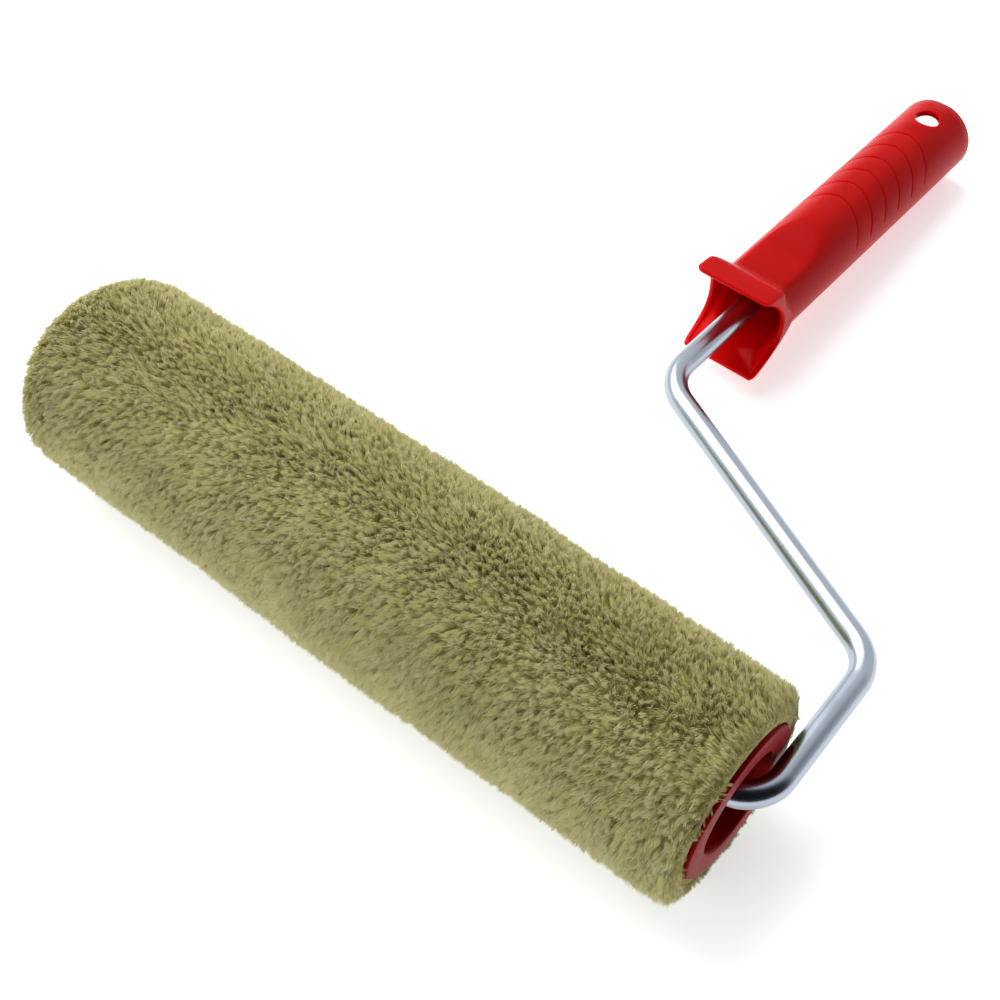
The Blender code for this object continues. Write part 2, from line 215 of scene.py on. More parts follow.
def naturalPlastic(name):
    # Unpigmented moulded polypropylene: milky grey-white and matte.
    made, tree = newMaterial(name)
    cloud = noise(tree, objectPlace(tree), 9 * mm, 3.0)
    colour = colourRamp(tree, cloud, [(0.3, "b9b8b0"), (0.7, "cbcac3")])
    shader = addNode(tree, "ShaderNodeBsdfPrincipled", {"IOR": 1.49, "Roughness": 0.5},
                     {"Base Color": colour, "Normal": bumpNormal(tree, cloud, 0.15, 0.05 * mm)})
    finishMaterial(tree, shader)
    return made


def knittedCloth(name):
    # Knitted polyester backing: matte rows of loops, 1.4 mm apart.
    made, tree = newMaterial(name)
    loops = addNode(tree, "ShaderNodeTexWave", {"Scale": 1 / (1.4 * mm) / 20, "Distortion": 3.0},
                    {"Vector": objectPlace(tree)}).outputs["Fac"]
    colour = colourRamp(tree, loops, [(0.1, "4e4a2a"), (0.9, "857d4c")])
    shader = addNode(tree, "ShaderNodeBsdfPrincipled", {"Roughness": 0.95, "IOR": 1.45},
                     {"Base Color": colour, "Normal": bumpNormal(tree, loops, 0.5, 0.3 * mm)})
    finishMaterial(tree, shader)
    return made


def plushPile(name):
    # Dyed woven plush, brushed: soft olive fibres, paler at their tips and darker down in the gaps; the
    # darker roots are painted shade.
    made, tree = newMaterial(name)
    along = addNode(tree, "ShaderNodeAttribute", {"attribute_name": "along"}).outputs["Fac"]
    tint = addNode(tree, "ShaderNodeAttribute", {"attribute_name": "tint"}).outputs["Fac"]
    tip = colourRamp(tree, tint, [(0.0, "e4dc94"), (0.5, "eee8ac"), (1.0, "f8f6ce")])
    # Each fibre runs from a darker root colour to its tip colour: painted shade deep in the pile.
    fibre = mix(tree, mapRange(tree, along, 0.0, 0.75), "c3bc73", tip)
    patches = noise(tree, objectPlace(tree), 28 * mm, 3.0)
    colour = mix(tree, mapRange(tree, patches, 0.35, 0.7, 0.0, 0.30), fibre, "cfc986")
    settings = {"Roughness": 0.85, "IOR": 1.35, "Sheen Weight": 0.45, "Sheen Roughness": 0.4}
    shader = addNode(tree, "ShaderNodeBsdfPrincipled", settings, {"Base Color": colour})
    # Thin fibres pass light, so a lock that is lit from behind glows as much as one lit from the front.
    through = addNode(tree, "ShaderNodeBsdfTranslucent", {}, {"Color": colour})
    both = addNode(tree, "ShaderNodeMixShader", {0: 0.45}, {1: shader.outputs[0], 2: through.outputs[0]})
    finishMaterial(tree, both)
    return made


def pileRoots(name):
    # The dense root layer under the fibres: matte, lumpy and dark olive; its darkness is painted shade deep
    # in the pile.
    made, tree = newMaterial(name)
    place = objectPlace(tree)
    clumps = addNode(tree, "ShaderNodeTexVoronoi", {"Scale": 1 / (2.4 * mm)}, {"Vector": place})
    # Darker than the fibres: painted shade at the bottom of the pile.
    colour = colourRamp(tree, noise(tree, place, 0.8 * mm, 4.0), [(0.3, "9a8f54"), (0.7, "b5aa6e")])
    lumps = bumpNormal(tree, clumps.outputs["Distance"], 0.8, 1.0 * mm)
    shader = addNode(tree, "ShaderNodeBsdfPrincipled", {"Roughness": 0.95, "IOR": 1.35},
                     {"Base Color": colour, "Normal": lumps})
    finishMaterial(tree, shader)
    return made


handleRed = mouldedRed("mouldedSatinPolypropylene", "be0404", "b40202", 0.06, 0.8)
# The caps use a darker copy of the handle's red: painted shade for their end faces, which face away from the
# light.
shadedCapRed = mouldedRed("shadedCapPolypropylene", "960405", "8a0303", 0.03, 0.0)
zinc = zincPlated("brightZincPlatedSteel")
natural = naturalPlastic("naturalMouldedPolypropylene")
cloth = knittedCloth("knittedPolyesterBacking")
plush = plushPile("brushedOlivePlush")
roots = pileRoots("densePlushRoots")


# The CAD's own pieces stay for what is hidden or plain.
keptPieces = {"core_tube": natural, "pile_backing": cloth, "bush_near": natural, "bush_far": natural,
              "stop_ring": zinc, "lock_washer": zinc}
for nodeName, material in keptPieces.items():
    for slotPlace in frame["nodes"][nodeName].material_slots:
        slotPlace.material = material
print("CAD pieces painted")


# Each bend is (x, y, radius).
wire = {"radius": 4.0, "sides": 40, "bendSteps": 22, "tipChamfer": 0.8, "axleTip": (-114.0, 0.0),
        "axleBend": (129.9, 0.0, 14.0), "knee": (128.6, 62.9, 16.0), "shoulder": (19.7, 116.8, 18.0),
        "innerEnd": (19.7, 230.5)}


def bendPoints(before, corner, after, radius, steps):
    # An arc of this radius that rounds a corner of the wire's middle line.
    back = (before - corner).normalized()
    ahead = (after - corner).normalized()
    turn = math.pi - back.angle(ahead)
    centre = corner + (back + ahead).normalized() * radius / math.cos(turn / 2)
    spoke = (corner + back * radius * math.tan(turn / 2) - centre).normalized()
    angles = [turn * i / steps for i in range(steps + 1)]
    return [centre + radius * (spoke * math.cos(a) - back * math.sin(a)) for a in angles]


def makeWire():
    bends = ("shoulder", "knee", "axleBend")
    innerEnd = Vector((*wire["innerEnd"], 0))
    axleTip = Vector((*wire["axleTip"], 0))
    line = [innerEnd] + [Vector((*wire[name][:2], 0)) for name in bends] + [axleTip]
    path = [innerEnd]
    for i, name in enumerate(bends, start=1):
        path += bendPoints(line[i - 1], line[i], line[i + 1], wire[name][2], wire["bendSteps"])
    chamfer = wire["tipChamfer"]
    path += [axleTip + Vector((chamfer, 0, 0)), axleTip]
    builder = bmesh.new()
    rings = []
    for i, centre in enumerate(path):
        along = (path[min(i + 1, len(path) - 1)] - path[max(i - 1, 0)]).normalized()
        side = Vector((along.y, -along.x, 0))
        radius = wire["radius"] - (chamfer if i == len(path) - 1 else 0.0)
        angles = [math.tau * k / wire["sides"] for k in range(wire["sides"])]
        rings.append([centre + radius * (side * math.cos(a) + Vector((0, 0, math.sin(a)))) for a in angles])
    skinRings(builder, rings, False)
    mesh = meshFrom(builder, "wireRod")
    mesh.transform(framePlace)
    return addObject("wireRod", mesh, zinc)


wireRod = makeWire()
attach(wireRod, "frame")
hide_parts("wire_frame")
print("wire frame made")


handle = {"x": 19.7, "front": 150.5, "end": 299.0, "radius": 14.5, "wall": 2.4, "rim": 0.45,
          "columns": 144, "flatHeight": 11.1, "flatLength": 36.0, "flatSoft": 0.8, "flatRows": 6,
          "rampLength": 20.0, "rampRows": 18, "innerRow": 240.0,
          "guardHalfWidth": 14.6, "guardBow": 0.6, "guardTop": 19.3, "guardBottom": 16.4,
          "guardCorner": 1.2, "leastCorner": 0.3, "guardWall": 1.7, "guardLength": 26.0, "guardRows": 30,
          "guardRowPower": 1.15, "lipLength": 19.5, "lipHump": 0.72, "lipHumpLength": 0.55,
          "flareLength": 7.0, "lowFlareLength": 10.0, "lipSquareStart": 17.0, "lipSquareLength": 9.0,
          "scallop": 14.0, "scallopLow": 2.0, "scallopPower": 2.4,
          "grooves": 6, "firstGroove": 222.0, "grooveSpacing": 9.9, "grooveHalf": 0.50,
          "grooveDepth": 0.70, "grooveSweep": 8.2, "grooveCurve": 1.3, "grooveEnd": 75.0, "grooveFade": 8.0,
          "holeFromEnd": 13.0, "holeRadius": 4.6, "holeEdge": 0.4, "holeCells": 8, "holePatch": 14}
# Sections as shares of the sizes above: a groove is (across, depth) and a rim (of the wall, set back).
grooveSection = ((-1.5, 0.0), (-1.0, 0.02), (-0.7, 0.30), (-0.35, 0.80), (0.0, 1.0), (0.35, 0.80),
                 (0.7, 0.30), (1.0, 0.02), (1.5, 0.0))
rimSection = ((0.0, 1.0), (0.10, 0.3), (0.28, 0.0), (0.72, 0.0), (0.90, 0.3), (1.0, 1.0))
holeY = handle["end"] - handle["holeFromEnd"]
cellWidth = math.tau * handle["radius"] / handle["columns"]


def lipRise(y, isLow):
    # The upper lip is humped: steep behind, then running forward. The lower one flares in a hollow curve.
    place = min(1.0, max(0.0, (handle["front"] + handle["lipLength"] - y) / handle["lipLength"]))
    if isLow:
        return place * place
    hump = handle["lipHump"]
    return hump * smoothStep(place / handle["lipHumpLength"]) + (1 - hump) * place


def topHeight(y):
    rise = smoothStep((y - handle["front"] - handle["flatLength"]) / handle["rampLength"])
    flat = handle["flatHeight"] + (handle["radius"] - handle["flatHeight"]) * rise
    return flat + (handle["guardTop"] - flat) * lipRise(y, False)


def outlinePoint(share, halfWidth, height, corner):
    # A quarter of a rounded rectangle, from its side (share 0) to its top (share 1).
    wall, ceiling, arc = height - corner, halfWidth - corner, corner * math.pi / 2
    walked = share * (wall + arc + ceiling)
    if walked <= wall:
        return halfWidth, walked
    if walked >= wall + arc:
        return max(0.0, ceiling - (walked - wall - arc)), height
    angle = (walked - wall) / corner
    return ceiling + corner * math.cos(angle), wall + corner * math.sin(angle)


def columnPlace(column):
    # The side of the section that a column is on, and its share of the way from the side to the top.
    quarter = handle["columns"] // 4
    side, place = divmod(column, quarter)
    share = place / quarter if side % 2 == 0 else 1 - place / quarter
    isLow = side in (2, 3)
    return share, side in (1, 2), isLow, handle["guardBottom"] if isLow else handle["guardTop"]


def mouthStart(column):
    # The rim reaches forward at both lips and is scalloped at the sides.
    share, _, isLow, guardHeight = columnPlace(column)
    rise = outlinePoint(share, handle["guardHalfWidth"], guardHeight, handle["guardCorner"])[1]
    height = (-rise if isLow else rise) + handle["scallopLow"]
    reach = handle["guardBottom"] - handle["scallopLow"]
    if height > 0:
        reach = handle["guardTop"] + handle["scallopLow"]
    reached = min(1.0, abs(height) / reach) ** handle["scallopPower"]
    return handle["front"] + handle["scallop"] * (1.0 - reached)


def guardSquare(column, y, isLow):
    # The round tube flares out to a square along the whole rim, and all across the upper lip.
    length = handle["lowFlareLength"] if isLow else handle["flareLength"]
    flare = smoothStep((mouthStart(column) + length - y) / length)
    if isLow:
        return flare
    fromLip = handle["front"] + handle["lipSquareStart"] - y
    return max(flare, smoothStep(fromLip / handle["lipSquareLength"]))


def handlePoint(column, y, inset):
    # A point of the handle's skin; inset is how far it lies inside the outer skin.
    share, isLeft, isLow, guardHeight = columnPlace(column)
    square = guardSquare(column, y, isLow)
    halfWidth = handle["radius"] + (handle["guardHalfWidth"] - handle["radius"]) * square
    height = handle["radius"] + (guardHeight - handle["radius"]) * lipRise(y, isLow)
    corner = min(halfWidth, height, handle["radius"] + (handle["guardCorner"] - handle["radius"]) * square)
    corner = max(corner - inset, handle["leastCorner"])
    across, up = outlinePoint(share, halfWidth - inset, height - inset, corner)
    across += handle["guardBow"] * square * max(0.0, 1.0 - (up / height) ** 2) * across / halfWidth
    if isLow:
        up = -up
    else:
        # The flat meets the round sides in a small radius, not in a sharp edge.
        limit = topHeight(y) - inset
        soft = handle["flatSoft"]
        if up > limit - soft:
            up = limit - soft + soft * (1 - math.exp(-(up - limit + soft) / soft))
    return Vector((handle["x"] + (-across if isLeft else across), y, up))


def grooveShift(column):
    # A groove sweeps forward down the sides and fades out at its ends.
    fromTop = abs((math.degrees(math.tau * column / handle["columns"]) - 90 + 180) % 360 - 180)
    share = min(1.0, fromTop / handle["grooveEnd"])
    fade = handle["grooveFade"]
    fading = 1.0 - smoothStep((fromTop - handle["grooveEnd"] + fade / 2) / fade)
    return -handle["grooveSweep"] * share ** handle["grooveCurve"], fading


def wallAt(y):
    share = smoothStep((y - handle["front"] - handle["scallop"]) / handle["guardLength"])
    return handle["guardWall"] + (handle["wall"] - handle["guardWall"]) * share


def holeCircle(across, along, radius):
    # The point of a circle round the hang hole that a point of the grid belongs to.
    angle = math.atan2(along, across)
    return -radius * math.cos(angle), holeY + radius * math.sin(angle)


def holedPoint(column, y, inset):
    # Round the hang hole the grid is drawn out, so that a square of its cells becomes the round hole.
    point = handlePoint(column, y, inset)
    patch = handle["holePatch"]
    across = (column - handle["columns"] // 4) / patch
    along = (y - holeY) / (patch * cellWidth)
    reach = max(abs(across), abs(along))
    if reach >= 1.0 or reach == 0.0:
        return point
    hole = handle["holeCells"] / patch
    share = max(0.0, (reach - hole) / (1.0 - hole))
    x, edgeY = holeCircle(across, along, handle["holeRadius"] + handle["holeEdge"])
    x += (point.x - handle["x"] - x) * share
    height = math.sqrt((handle["radius"] - inset) ** 2 - x * x)
    return Vector((handle["x"] + x, edgeY + (point.y - edgeY) * share, height))


def openHole(builder, outerRows, innerRows):
    # Takes out the hole's cells from both skins and joins the two edges by a wall with rounded rims.
    top, patch, cells = handle["columns"] // 4, handle["holePatch"], handle["holeCells"]
    ahead = range(-cells, cells)
    back = range(cells, -cells, -1)
    square = [(i, -cells) for i in ahead] + [(cells, i) for i in ahead]
    square += [(i, cells) for i in back] + [(-cells, i) for i in back]
    skins = (outerRows, innerRows)
    loops = [[rows[patch + along][top + across] for across, along in square] for rows in skins]
    inside = range(1 - cells, cells)
    gone = [rows[patch + along][top + across] for rows in skins for across in inside for along in inside]
    bmesh.ops.delete(builder, geom=gone, context="VERTS")
    edge = handle["holeEdge"]
    outer = handle["radius"]
    inner = outer - handle["wall"]
    # Each ring of the hole's wall: the skin it starts from, and how much wider and higher it lies.
    wallRings = ((outer, 0.3, -0.3), (outer, 0.0, -1.0), (inner, 0.0, 1.0), (inner, 0.3, 0.3))
    rings = [loops[0]]
    for skin, wider, higher in wallRings:
        ring = []
        for across, along in square:
            x, y = holeCircle(across, along, handle["holeRadius"] + edge * wider)
            ring.append(builder.verts.new((handle["x"] + x, y, math.sqrt(skin ** 2 - x * x) + edge * higher)))
        rings.append(ring)
    rings.append(loops[1])
    for first, second in zip(rings, rings[1:]):
        joinRings(builder, first, second)


def makeHandle():
    columns = range(handle["columns"])
    guardEnd = handle["front"] + handle["guardLength"] + 1.0
    rampStart = handle["front"] + handle["flatLength"]
    rim = handle["rim"]
    starts = [mouthStart(c) for c in columns]

    def mouthRing(done, insetShare, push=0.0):
        ring = []
        for c, start in zip(columns, starts):
            y = start + push + (guardEnd - start - push) * done
            ring.append(handlePoint(c, y, insetShare * wallAt(y)))
        return ring

    def rimRings(ringAt):
        # The moulded rim: square with small rounded edges, from the outer to the inner skin.
        return [ringAt(share, rim * back) for share, back in rimSection]

    rows = handle["guardRows"]
    guardShares = [(i / rows) ** handle["guardRowPower"] for i in range(1, rows)]
    flatRows, rampRows = handle["flatRows"], handle["rampRows"]
    stations = [guardEnd + (rampStart - guardEnd) * i / flatRows for i in range(flatRows + 1)]
    stations += [rampStart + handle["rampLength"] * i / rampRows for i in range(1, rampRows + 1)]
    outer = [mouthRing(done, 0.0) for done in guardShares]
    outer += [[handlePoint(c, y, 0.0) for c in columns] for y in stations]
    half, depth = handle["grooveHalf"], handle["grooveDepth"]
    for groove in range(handle["grooves"]):
        middle = handle["firstGroove"] + groove * handle["grooveSpacing"]
        for offset, share in grooveSection:
            ring = []
            for c in columns:
                shift, fading = grooveShift(c)
                ring.append(handlePoint(c, middle + shift + offset * half, depth * share * fading))
            outer.append(ring)
    patch = handle["holePatch"]
    holeRows = [holeY + cellWidth * i for i in range(-patch, patch + 1)]
    firstOuter = len(outer)
    outer += [[holedPoint(c, y, 0.0) for c in columns] for y in holeRows]

    def rearRing(share, push):
        return [handlePoint(c, handle["end"] - push, share * handle["wall"]) for c in columns]

    rearRim = rimRings(rearRing)
    firstInner = len(outer) + len(rearRim)
    inner = [[holedPoint(c, y, handle["wall"]) for c in columns] for y in reversed(holeRows)]
    inner += [[handlePoint(c, handle["innerRow"], handle["wall"]) for c in columns]]
    inner += [[handlePoint(c, y, wallAt(y)) for c in columns] for y in reversed(stations)]
    inner += [mouthRing(done, 1.0) for done in reversed(guardShares)]
    frontRim = list(reversed(rimRings(lambda share, push: mouthRing(0.0, share, push))))
    builder = bmesh.new()
    made = skinRings(builder, outer + rearRim + inner + frontRim, True)
    count = len(holeRows)
    openHole(builder, made[firstOuter:firstOuter + count], made[firstInner:firstInner + count][::-1])
    mesh = meshFrom(builder, "handleShell", 50)
    mesh.transform(framePlace)
    return addObject("handleShell", mesh, handleRed)


handleShell = makeHandle()
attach(handleShell, "frame")
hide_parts("handle")

# The moulded socket that grips the wire inside the handle: a tube, a web across and four ribs.
socket = {"radius": 7.2, "bore": 4.3, "front": 184.5, "webFront": 230.5, "webBack": 234.5, "webBore": 0.5,
          "edge": 0.4, "ribFront": 206.5, "ribHalf": 1.0, "ribReach": 12.6, "ribOverlap": 0.5, "sides": 48}


def turnedMesh(name, profile, sides, place, axis="X", sharp=40):
    # A closed outline of (distance along, radius) points, turned about the axis.
    builder = bmesh.new()
    rings = []
    for along, radius in profile:
        ring = []
        for i in range(sides):
            a = math.tau * i / sides
            point = (along, radius * math.cos(a), radius * math.sin(a))
            ring.append(Vector(point) if axis == "X" else Vector((point[1], point[0], point[2])))
        rings.append(ring)
    skinRings(builder, rings, True)
    mesh = meshFrom(builder, name, sharp)
    mesh.transform(place)
    return mesh


def makeSocket():
    web, edge = socket["ribReach"], socket["edge"]
    recess = socket["webFront"] + edge
    profile = [(socket["front"], socket["bore"]), (socket["front"], socket["radius"] - edge),
               (socket["front"] + edge, socket["radius"]), (socket["webFront"], socket["radius"]),
               (socket["webFront"], web), (socket["webBack"], web), (socket["webBack"], socket["webBore"]),
               (recess, socket["webBore"]), (recess, socket["bore"])]
    aside = Matrix.Translation((handle["x"], 0, 0))
    builder = bmesh.new()
    builder.from_mesh(turnedMesh("wireSocket", profile, socket["sides"], aside, "Y"))
    reach = web - socket["radius"] + socket["ribOverlap"]
    length = socket["webFront"] - socket["ribFront"]
    ribPlace = (web - reach / 2, socket["ribFront"] + length / 2, 0)
    for quarter in range(4):
        rib = bmesh.ops.create_cube(builder, size=1.0)["verts"]
        turn = Matrix.Rotation(quarter * math.pi / 2, 3, "Y")
        bmesh.ops.scale(builder, verts=rib, vec=(reach, length, 2 * socket["ribHalf"]))
        bmesh.ops.translate(builder, verts=rib, vec=ribPlace)
        bmesh.ops.rotate(builder, verts=rib, cent=(0, 0, 0), matrix=turn)
        bmesh.ops.translate(builder, verts=rib, vec=(handle["x"], 0, 0))
    made = meshFrom(builder, "wireSocket")
    made.transform(framePlace)
    return addObject("wireSocket", made, handleRed)


wireSocket = makeSocket()
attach(wireSocket, "frame")
print("handle made")


cap = {"outer": 24.0, "ring": 8.0, "edge": 0.6, "flange": 2.0, "skirt": 21.1, "skirtEnd": 16.0,
       "skirtEdge": (0.6, 0.4), "wall": 1.8, "taper": 3.2, "depth": 16.5, "floorRound": 1.2,
       "hubEnd": 34.5, "bore": 6.4, "mouthRound": 0.9, "halfLength": 125.0, "sides": 128}


def roundedCorner(centre, radius, startAngle, endAngle, steps=5):
    angles = [startAngle + (endAngle - startAngle) * i / steps for i in range(steps + 1)]
    return [(centre[0] + radius * math.cos(a), centre[1] + radius * math.sin(a)) for a in angles]


def capProfile():
    # From the ring's inner edge: ring, rim, skirt, back, hub, bore and the floor of the recess.
    wall, depth, skirt = cap["wall"], cap["depth"], cap["skirt"]
    mouth = cap["outer"] - cap["ring"]
    floorRadius = mouth - cap["taper"]
    hub = cap["bore"] + wall
    edge, turn, floorTurn = cap["edge"], cap["mouthRound"], cap["floorRound"]
    edgeLength, edgeDepth = cap["skirtEdge"]
    profile = roundedCorner((turn, mouth + turn), turn, -math.pi / 2, -math.pi)
    profile += roundedCorner((edge, cap["outer"] - edge), edge, math.pi, math.pi / 2)
    profile += [(cap["flange"], cap["outer"]), (cap["flange"], skirt),
                (cap["skirtEnd"] - edgeLength, skirt), (cap["skirtEnd"], skirt - edgeDepth),
                (cap["skirtEnd"], skirt - wall), (cap["flange"], skirt - wall),
                (cap["flange"], mouth + wall), (depth + wall, floorRadius + wall),
                (depth + wall, hub), (cap["hubEnd"], hub), (cap["hubEnd"], cap["bore"]),
                (depth, cap["bore"])]
    profile += roundedCorner((depth - floorTurn, floorRadius - floorTurn), floorTurn, 0.0, math.pi / 2, 4)
    return profile


def makeCap(name, nodeName, direction):
    # The near cap is the far one mirrored, so its faces are turned back outwards.
    end = Matrix.Translation((-direction * cap["halfLength"], 0, 0))
    place = rollerPlace @ end @ Matrix.Diagonal((direction, 1, 1, 1))
    mesh = turnedMesh(name, capProfile(), cap["sides"], place, sharp=30)
    if direction < 0:
        mesh.flip_normals()
    made = addObject(name, mesh, shadedCapRed)
    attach(made, "roller")
    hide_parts(nodeName)


makeCap("capNear", "end_cap_near", -1)
makeCap("capFar", "end_cap_far", 1)
print("end caps made")


pile = {"length": 249.4, "setBack": 1.0, "rootRadius": 30.4, "innerRadius": 24.4, "nearRound": (2.0, 4.0),
        "farRound": (7.5, 5.9), "roundSteps": 6, "bandHalf": 112.0, "bands": 8, "sides": 96,
        "middleHalf": 110.0, "middleRows": 23, "innerRows": 5, "seed": 7,
        "tuftKinds": 8, "tuftsPerBand": 8200, "quickShare": 0.25, "clumpSize": 1.9, "clumpPull": 0.55,
        "waviness": 0.9, "waveSize": 12.0, "bulge": 0.14, "bulgeSize": 45.0, "softNormal": 0.80,
        "lean": (-0.25, 0.50), "leanAmount": 0.60, "sizes": (0.82, 1.10), "tints": (0.15, 0.85),
        "endFacing": (0.2, 0.9), "endLength": 0.60, "endPull": 0.2, "endNormal": 0.35}
tuft = {"fibres": 8, "length": 4.3, "lengths": (0.80, 1.08), "width": 0.24, "widths": (0.7, 1.2),
        "radius": 0.75, "flatness": 0.6, "spin": 0.9, "sideBend": 0.50, "bend": (0.35, 0.40), "bow": 2.2,
        "gather": 0.35, "knee": 0.6, "kneeWidth": 0.9}
# Where the lay changes towards an end: from and to are places along the sleeve, side is the side of the
# sleeve it works on and spread how squarely a fibre has to face it. Lean is along the axle.
endTurns = (
    {"from": -98.0, "to": -122.0, "side": (0, 0, 0), "spread": (-1, 0), "lean": 0.6, "length": 0.95},
    {"from": -112.0, "to": -121.0, "side": (0, 0.83, 0.55), "spread": (0.1, 0.8), "lean": 1.2, "length": 0.5},
    {"from": 112.0, "to": 123.0, "side": (0, -0.87, -0.5), "spread": (0.3, 0.9), "lean": 1.0, "length": 1.0},
    {"from": 112.0, "to": 122.0, "side": (0, 0.87, 0.5), "spread": (-0.3, 0.4), "lean": -0.7, "length": 1.0},
)


def endOutline(rounding):
    # One end of the root surface: an elliptical corner (along, inwards) down to the cap.
    half = pile["length"] / 2 - pile["setBack"]
    along, inwards = rounding
    steps = pile["roundSteps"]
    angles = [math.pi / 2 * i / steps for i in range(steps + 1)]
    corner = [(half - along + along * math.sin(a), pile["rootRadius"] - inwards + inwards * math.cos(a))
              for a in angles]
    return [(half - along - 1.0, pile["rootRadius"])] + corner + [(half, pile["innerRadius"])]


def rootProfile():
    far = [(-x, radius) for x, radius in reversed(endOutline(pile["farRound"]))]
    return far, endOutline(pile["nearRound"])


def makeRoots():
    # The closed root layer that the fibres stand on.
    far, near = rootProfile()
    half = pile["middleHalf"]
    middle = [(x, pile["rootRadius"]) for x in np.linspace(-half, half, pile["middleRows"])]
    inner = [(x, pile["innerRadius"]) for x in np.linspace(half, -half, pile["innerRows"])]
    mesh = turnedMesh("pileRootLayer", far + middle + near + inner, pile["sides"], rollerPlace)
    made = addObject("pileRootLayer", mesh, roots)
    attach(made, "roller")
    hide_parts("pile")


def makeTuft(kind, rng):
    # A few tapered fibres that start together; each is a narrow ribbon of one quad and a tip.
    builder = bmesh.new()
    layer = builder.verts.layers.float.new("along")
    for _ in range(tuft["fibres"]):
        radius = tuft["radius"]
        root = Vector((rng.normal(0, radius), rng.normal(0, radius * tuft["flatness"]), 0))
        length = tuft["length"] * rng.uniform(*tuft["lengths"])
        spin = rng.uniform(-tuft["spin"], tuft["spin"])
        width = Vector((math.cos(spin), math.sin(spin), 0)) * tuft["width"] * rng.uniform(*tuft["widths"]) / 2
        bend = Vector((rng.normal(0, tuft["sideBend"]), rng.normal(*tuft["bend"]), 0))
        points = []
        for share, wide in ((0.0, 1.0), (tuft["knee"], tuft["kneeWidth"])):
            middle = root * (1 - tuft["gather"] * share) + Vector((0, 0, length * share))
            middle += bend * share * (1 - share) * tuft["bow"]
            for direction in (-1, 1):
                vert = builder.verts.new(middle + width * wide * direction)
                vert[layer] = share
                points.append(vert)
        tip = builder.verts.new(root * (1 - tuft["gather"]) + Vector((0, 0, length)))
        tip[layer] = 1.0
        builder.faces.new((points[0], points[1], points[3], points[2]))
        builder.faces.new((points[2], points[3], tip))
    mesh = bpy.data.meshes.new(f"tuft{kind}")
    builder.to_mesh(mesh)
    builder.free()
    mesh.shade_smooth()
    mesh.transform(Matrix.Scale(mm, 4))
    made = bpy.data.objects.new(f"tuft{kind}", mesh)
    tufts.objects.link(made)


